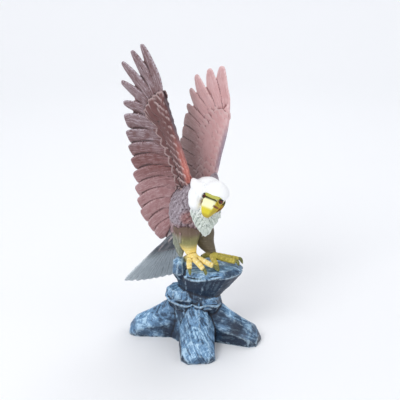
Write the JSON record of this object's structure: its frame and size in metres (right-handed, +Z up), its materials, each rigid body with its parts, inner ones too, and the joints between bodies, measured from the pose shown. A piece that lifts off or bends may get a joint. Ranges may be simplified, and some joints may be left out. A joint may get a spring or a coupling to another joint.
{
  "type": "eagle figurine",
  "caption": "Painted cast-resin bald eagle with both wings raised, head bowed and tail fanned, gripping the top of a dark rock that stands on splayed rock feet.",
  "frame": {"origin": "on the floor, under the middle of the rock, on the rock's flat underside", "axes": "+Z up; the view that shows the face looks along +Y, and +X is to its right; the eagle's body faces between +X and -Y"},
  "size_m": [0.1713, 0.1561, 0.3689],
  "materials": {
    "eagle_paint": "hand-painted satin resin, maroon brown with a white head, yellow beak and feet and a grey tail",
    "rock_paint": "hand-painted semi-gloss resin, slate blue with pale dry-brushed ridges"
  },
  "bodies": {
    "root": {"eagle": "eagle_paint", "rock_base": "rock_paint"}
  },
  "joints": []
}
